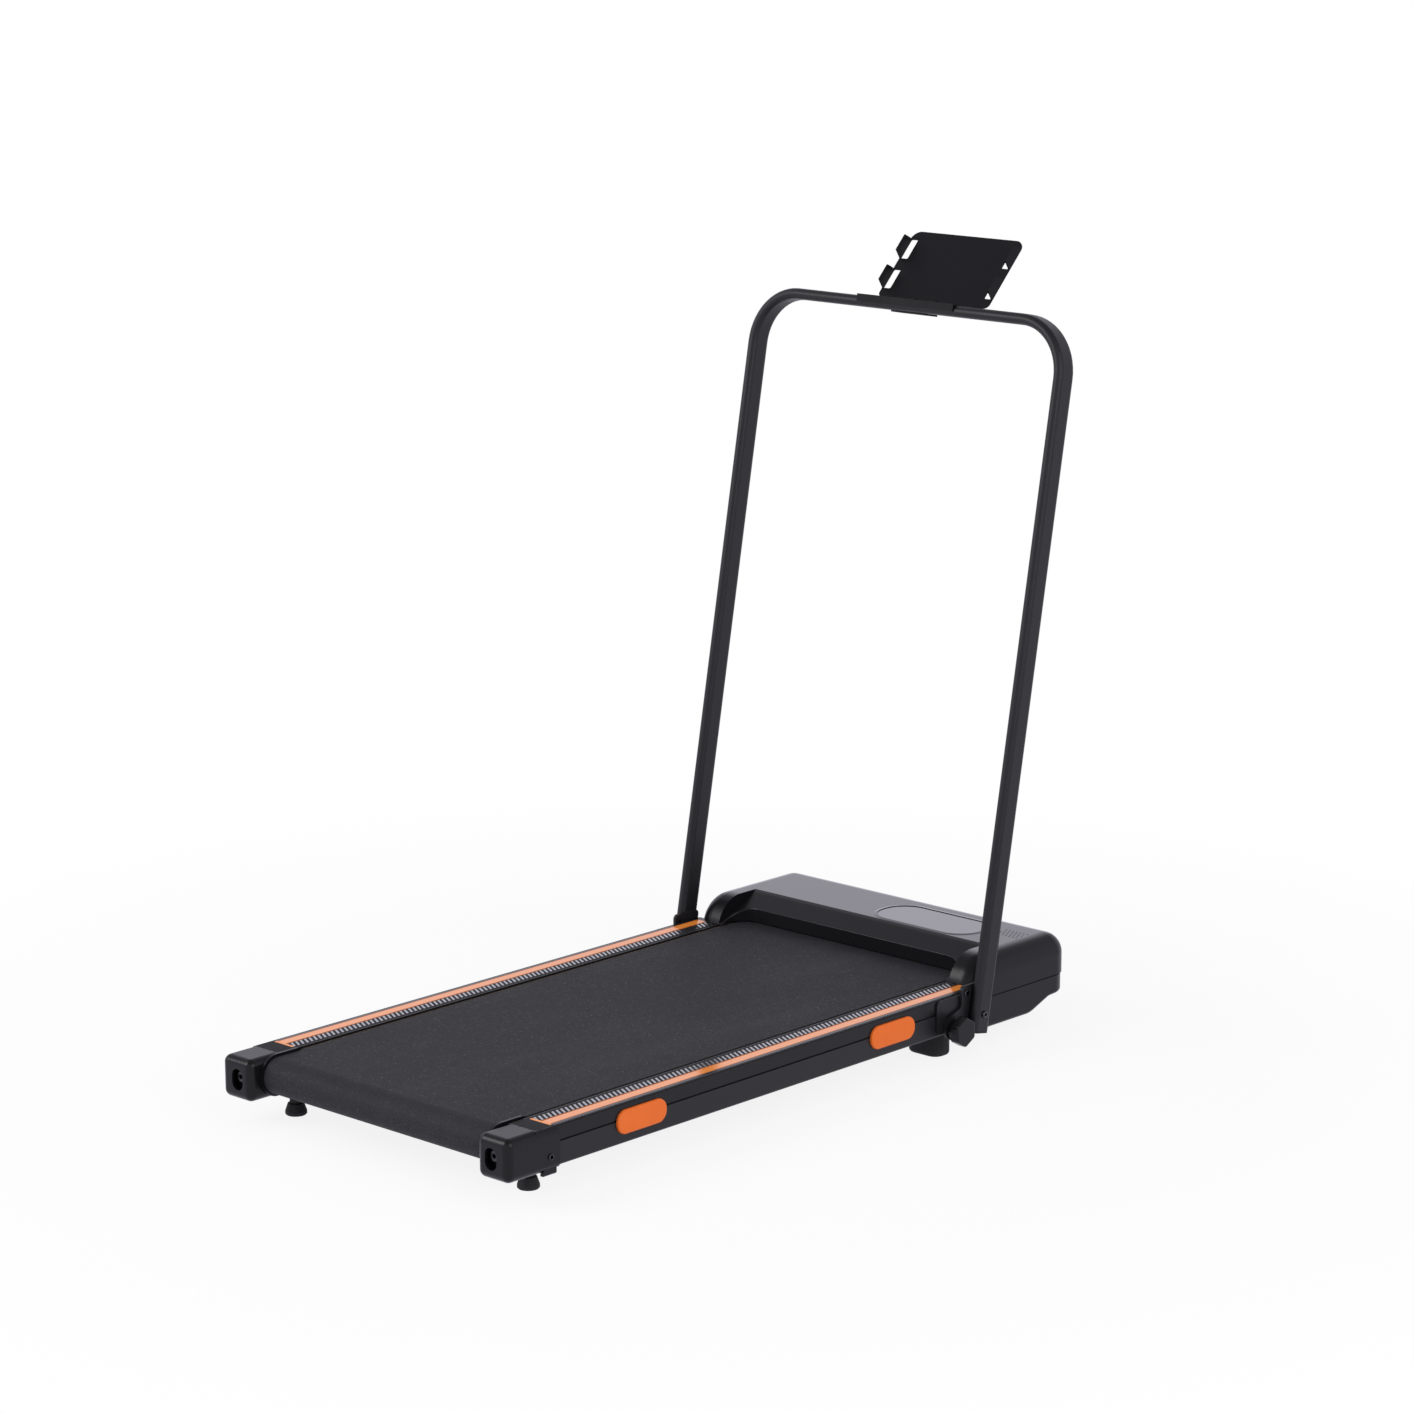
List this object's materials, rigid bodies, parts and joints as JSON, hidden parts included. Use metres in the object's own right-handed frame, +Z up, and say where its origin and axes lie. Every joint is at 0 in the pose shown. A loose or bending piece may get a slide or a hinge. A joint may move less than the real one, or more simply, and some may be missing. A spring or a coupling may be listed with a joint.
{
  "type": "walking pad treadmill",
  "caption": "Flat walking pad with a motor hood, running belt, orange side pads and a leaning handrail that folds back along the deck, with a tablet holder on its bar.",
  "frame": {"origin": "centre of the bounding box on the floor", "axes": "X to the walker's right, Y forward towards the motor hood, Z up"},
  "size_m": [0.5684, 1.1454, 1.0379],
  "materials": {
    "painted_steel": "satin black powder coat",
    "black_plastic": "fine-grained black",
    "grey_plastic": "dark grey",
    "belt": "dark grey belt with a fine grain",
    "rubber": "black rubber",
    "orange": "satin orange",
    "film": "glossy printed film",
    "board": "dark coated board",
    "steel": "bright steel",
    "motor": "dark enamel",
    "circuit": "green circuit board",
    "aluminium": "as extruded",
    "window": "smoked gloss"
  },
  "bodies": {
    "frame": {"cap_screws": "steel", "control_board": "circuit", "cross_members": "painted_steel", "deck_board": "board", "deck_cushions": "rubber", "display_board": "grey_plastic", "display_lens": "window", "drive_belt": "rubber", "drive_motor": "motor", "front_axle": "steel", "heat_sink": "aluminium", "left_end_cap": "black_plastic", "left_foot_film": "film", "left_foot_rail": "black_plastic", "left_front_foot": "rubber", "left_front_side_pad": "orange", "left_hinge_bracket": "painted_steel", "left_rear_foot": "rubber", "left_rear_side_pad": "orange", "left_side_rail": "painted_steel", "left_tension_bolt": "steel", "lower_pan": "black_plastic", "mains_inlet": "black_plastic", "motor_bracket": "motor", "motor_tray": "painted_steel", "rear_axle": "steel", "right_end_cap": "black_plastic", "right_foot_film": "film", "right_foot_rail": "black_plastic", "right_front_foot": "rubber", "right_front_side_pad": "orange", "right_hinge_bracket": "painted_steel", "right_rear_foot": "rubber", "right_rear_side_pad": "orange", "right_side_rail": "painted_steel", "right_tension_bolt": "steel", "running_belt": "belt", "speaker": "black_plastic", "switch_bezel": "black_plastic", "upper_hood": "black_plastic", "wheel_pins": "steel"},
    "handrail": {"handrail_tube": "painted_steel", "left_hinge_arm": "painted_steel", "right_hinge_arm": "painted_steel", "leg_bolts": "steel", "leg_plugs": "black_plastic", "holder_plate": "painted_steel", "holder_clamp": "painted_steel"},
    "left_knob": {"left_hinge_knob": "black_plastic"},
    "right_knob": {"right_hinge_knob": "black_plastic"},
    "drive_roller": {"front_roller": "steel", "front_bearings": "steel", "roller_pulley": "grey_plastic"},
    "tail_roller": {"rear_roller": "steel", "rear_bearings": "steel"},
    "rotor": {"motor_rotor": "steel", "motor_pulley": "grey_plastic"},
    "left_wheel": {"left_transport_wheel": "rubber"},
    "right_wheel": {"right_transport_wheel": "rubber"},
    "rocker": {"power_rocker": "black_plastic"}
  },
  "joints": [
    {"name": "handrail_fold", "type": "hinge", "parent": "frame", "child": "handrail", "pos_m": [0, 0.23932, 0.044], "axis": [1, 0, 0], "range_deg": [0, 100.7]},
    {"name": "left_knob_turn", "type": "hinge", "parent": "frame", "child": "left_knob", "pos_m": [-0.27, 0.23932, 0.044], "axis": [1, 0, 0], "continuous": true},
    {"name": "right_knob_turn", "type": "hinge", "parent": "frame", "child": "right_knob", "pos_m": [0.27, 0.23932, 0.044], "axis": [1, 0, 0], "continuous": true},
    {"name": "drive_roller_turn", "type": "hinge", "parent": "frame", "child": "drive_roller", "pos_m": [0, 0.35232, 0.0625], "axis": [1, 0, 0], "continuous": true},
    {"name": "tail_roller_turn", "type": "hinge", "parent": "frame", "child": "tail_roller", "pos_m": [0, -0.52968, 0.0625], "axis": [1, 0, 0], "continuous": true},
    {"name": "rotor_turn", "type": "hinge", "parent": "frame", "child": "rotor", "pos_m": [-0.2, 0.41432, 0.073], "axis": [1, 0, 0], "continuous": true},
    {"name": "left_wheel_roll", "type": "hinge", "parent": "frame", "child": "left_wheel", "pos_m": [-0.215, 0.47132, 0.0435], "axis": [1, 0, 0], "continuous": true},
    {"name": "right_wheel_roll", "type": "hinge", "parent": "frame", "child": "right_wheel", "pos_m": [0.215, 0.47132, 0.0435], "axis": [1, 0, 0], "continuous": true},
    {"name": "power_switch", "type": "hinge", "parent": "frame", "child": "rocker", "pos_m": [-0.1, 0.49212, 0.092], "axis": [1, 0, 0], "range_deg": [0, 18]}
  ],
  "couplings": [
    {"joint": "tail_roller_turn", "follows": "drive_roller_turn", "ratio": 1},
    {"joint": "rotor_turn", "follows": "drive_roller_turn", "ratio": 2.5455}
  ]
}
